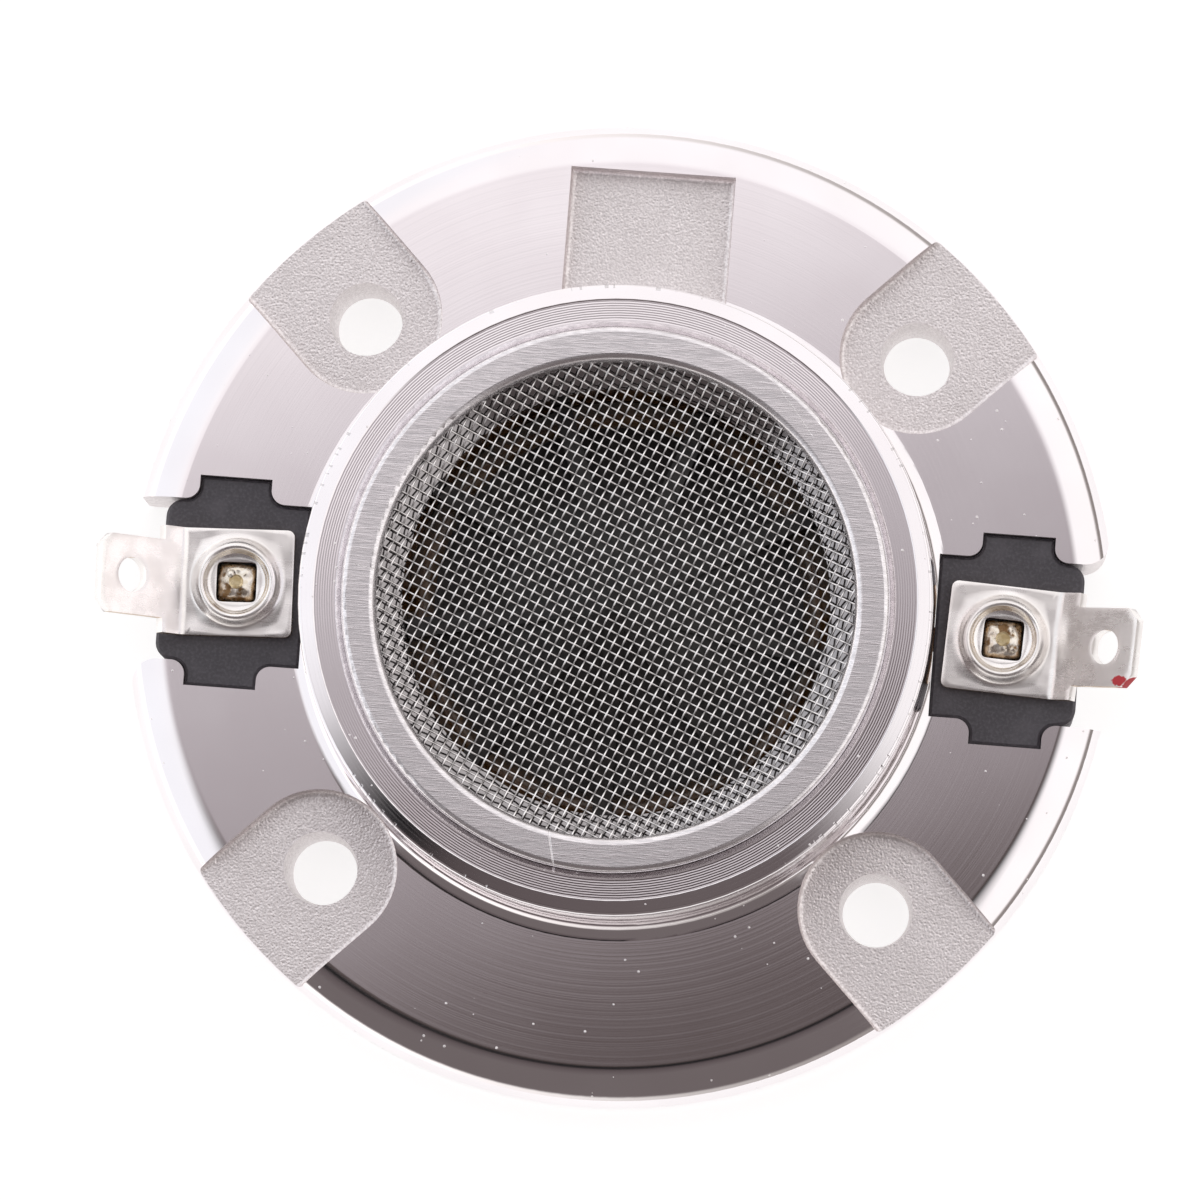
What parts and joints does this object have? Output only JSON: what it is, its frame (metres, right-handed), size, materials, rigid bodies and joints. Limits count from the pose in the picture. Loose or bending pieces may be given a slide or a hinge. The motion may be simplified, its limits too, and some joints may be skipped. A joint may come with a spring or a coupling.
{
  "type": "horn tweeter front plate and diaphragm assembly",
  "caption": "Round die-cast tweeter front plate with a raised mesh-covered throat, two solder spade terminals and the annular diaphragm with its voice coil behind.",
  "frame": {"origin": "centre of the rear face, which seats on the motor", "axes": "+Z out of the throat, towards the horn; the two terminals lie on the X axis; the rectangular cast window is on +Y"},
  "size_m": [0.084, 0.08, 0.0178],
  "materials": {
    "cast_aluminium": "die-cast aluminium, face turned to a fine mirror finish, pockets left sandy as cast",
    "stainless_mesh": "plain-woven stainless steel wire cloth",
    "brushed_aluminium_ring": "pressed aluminium ring, finely brushed across its width",
    "plug_plastic": "satin black-brown moulded plastic",
    "polymer_film": "thin amber polymer film, glossy",
    "polyimide_former": "amber polyimide tube",
    "enamelled_wire": "close-wound enamelled copper wire",
    "moulded_plastic": "black glass-filled plastic",
    "zinc_steel": "zinc-plated steel",
    "turned_aluminium": "turned aluminium",
    "gasket_rubber": "black foam rubber",
    "insulator_plastic": "black phenolic, matte",
    "tinned_brass": "bright tin-plated brass sheet",
    "pin_brass": "tinned brass pin",
    "solder": "tin solder with flux stain",
    "copper_ribbon": "flat copper lead"
  },
  "bodies": {
    "frame": {"front_plate": "cast_aluminium", "throat_mesh": "stainless_mesh", "mesh_retaining_ring": "brushed_aluminium_ring", "phase_plug": "plug_plastic", "outer_clamp_ring": "moulded_plastic", "outer_clamp_screws": "zinc_steel", "inner_clamp_ring": "turned_aluminium", "inner_clamp_screws": "zinc_steel", "rear_gasket": "gasket_rubber", "terminal_insulator_left": "insulator_plastic", "terminal_left": "tinned_brass", "lead_pin_left": "pin_brass", "solder_joint_left": "solder", "lead_ribbon_left": "copper_ribbon", "terminal_insulator_right": "insulator_plastic", "terminal_right": "tinned_brass", "lead_pin_right": "pin_brass", "solder_joint_right": "solder", "lead_ribbon_right": "copper_ribbon"},
    "moving_coil": {"voice_coil_former": "polyimide_former", "voice_coil_winding": "enamelled_wire", "diaphragm": "polymer_film"}
  },
  "joints": [
    {"name": "coil_travel", "type": "slide", "parent": "frame", "child": "moving_coil", "axis": [0, 0, 1], "range_m": [-0.0003, 0.0003], "stiffness_N_per_m": 200, "deforming": ["diaphragm", "lead_ribbon_left", "lead_ribbon_right"]}
  ]
}
